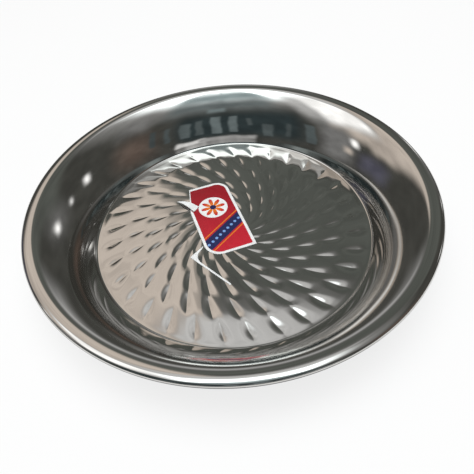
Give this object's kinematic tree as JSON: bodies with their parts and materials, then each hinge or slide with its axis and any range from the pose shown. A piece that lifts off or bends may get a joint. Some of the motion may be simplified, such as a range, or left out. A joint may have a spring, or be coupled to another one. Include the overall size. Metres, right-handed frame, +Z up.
{
  "type": "serving plate",
  "caption": "Deep round serving plate pressed from polished steel, with an embossed leaf-swirl base, flared wall and rolled rim, and a plain printed paper label stuck inside.",
  "frame": {"origin": "centre of the flat base that the plate stands on", "axes": "+Z up along the plate's axis, out of its open side; -Y towards the viewer of the picture, +X to the right"},
  "size_m": [0.2798, 0.2798, 0.0388],
  "materials": {
    "steel": "mirror polished",
    "label_print": "printed, gloss",
    "label_paper": "matt"
  },
  "bodies": {
    "root": {"plate_body": "steel", "label": "label_print", "label_torn_strip": "label_paper", "label_offcut": "label_paper"}
  },
  "joints": []
}
